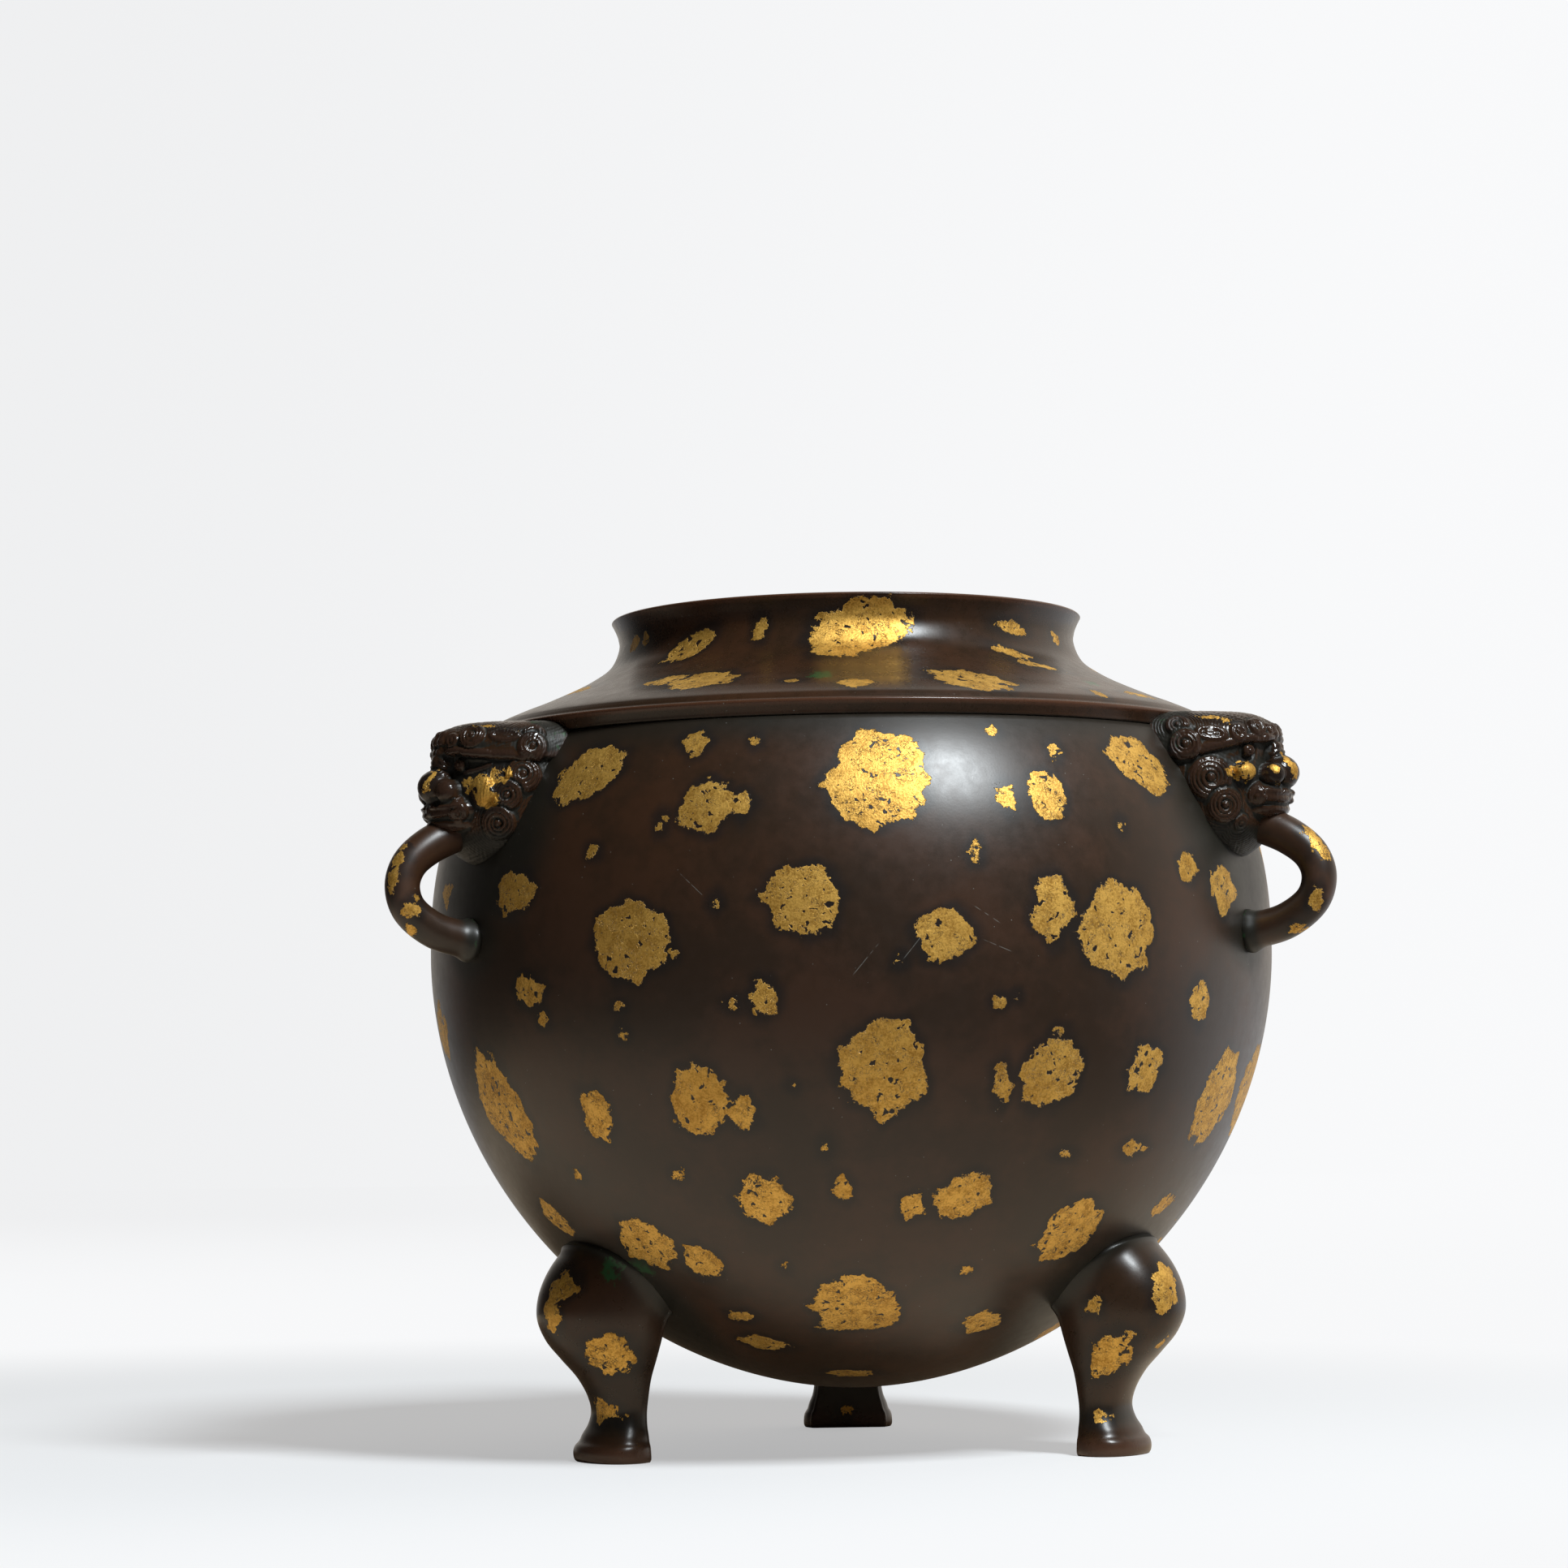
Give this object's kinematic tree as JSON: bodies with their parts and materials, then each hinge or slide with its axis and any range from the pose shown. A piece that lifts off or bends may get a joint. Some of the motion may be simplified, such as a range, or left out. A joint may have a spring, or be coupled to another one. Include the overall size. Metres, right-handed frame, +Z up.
{
  "type": "tripod incense burner",
  "caption": "Round-bodied bronze incense burner on cabriole legs, with a ledged shoulder, flared lip, lion-mask loop handles and gold-splashed dark patina.",
  "frame": {"origin": "centre of the overall box in plan, at the level that the feet stand on; the bowl's own axis stands 9.6 mm forward and 0.9 mm left of it, because of the back handle and the hand-set side handles", "axes": "+Z up out of the mouth, +Y towards the back leg and back handle, +X towards the right of someone who faces the two front handles"},
  "size_m": [0.1946, 0.199, 0.177],
  "materials": {
    "patinated_bronze": "satin dark brown patina with splashes of gold",
    "rubbed_bronze": "satin reddish brown patina, rubbed by handling"
  },
  "bodies": {
    "root": {"vessel_body": "patinated_bronze", "leg_left": "patinated_bronze", "leg_right": "patinated_bronze", "leg_back": "patinated_bronze", "lion_mask_left": "patinated_bronze", "lion_mask_right": "patinated_bronze", "lion_mask_back": "patinated_bronze", "loop_handle_left": "rubbed_bronze", "loop_handle_right": "rubbed_bronze", "loop_handle_back": "rubbed_bronze", "mask_pin_left": "rubbed_bronze", "mask_pin_right": "rubbed_bronze", "mask_pin_back": "rubbed_bronze"}
  },
  "joints": []
}
